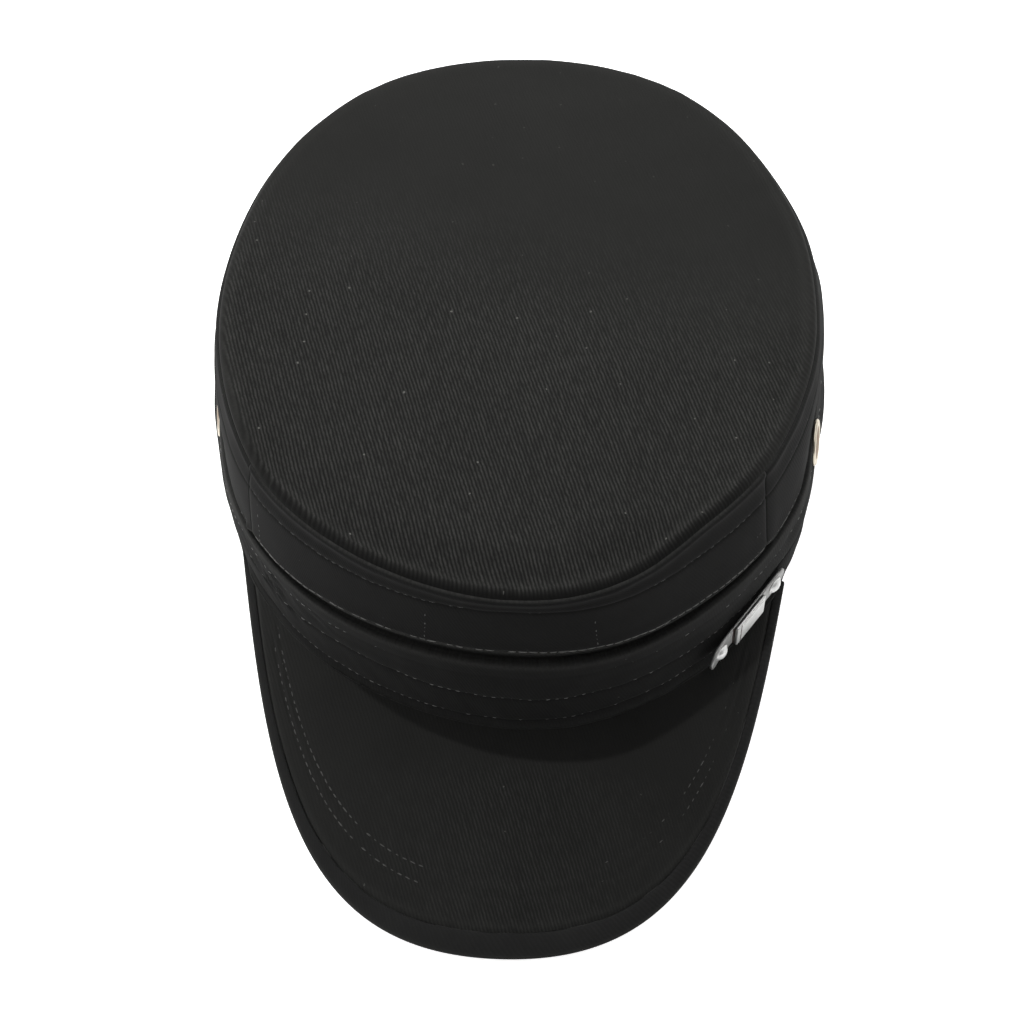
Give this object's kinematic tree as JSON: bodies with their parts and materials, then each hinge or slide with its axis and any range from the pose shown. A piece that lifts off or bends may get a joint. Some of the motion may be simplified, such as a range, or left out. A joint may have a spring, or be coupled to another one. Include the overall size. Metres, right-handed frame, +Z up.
{
  "type": "flat-top cap",
  "caption": "Black twill cap with a flat round top, upright wall, turned-up hem over a sewn band, short bound peak and riveted metal side plate.",
  "frame": {"origin": "centre of the cap's footprint box, on the surface it rests on", "axes": "+X to the wearer's left, -Y to the front where the peak points, +Z up. The cap leans back 6.5 degrees, as it rests by itself on the peak's two side points and the band's back edge"},
  "size_m": [0.1988, 0.2754, 0.0994],
  "materials": {
    "top_twill": "matt black cotton twill with a steep diagonal wale, a few pale lint specks",
    "wall_twill": "matt black cotton twill with grey stitched seams",
    "band_twill": "matt black cotton twill, lightly puckered along three rows of grey stitching",
    "peak_twill": "matt black cotton twill over a stiff board, two rows of stitching",
    "binding_twill": "matt black twill edge binding, rolled round the rim",
    "plate_steel": "pale brushed metal with a softly worn edge",
    "rivet_steel": "polished dome rivet head",
    "button_brass": "pale cream-brass rim round a tan centre"
  },
  "bodies": {
    "root": {"top_panel": "top_twill", "crown_front": "wall_twill", "crown_back": "wall_twill", "hat_band": "band_twill", "peak": "peak_twill", "peak_binding": "binding_twill", "side_plate": "plate_steel", "plate_bar": "plate_steel", "plate_rivet_front": "rivet_steel", "plate_rivet_rear": "rivet_steel", "side_button_left": "button_brass", "side_button_right": "button_brass"}
  },
  "joints": []
}
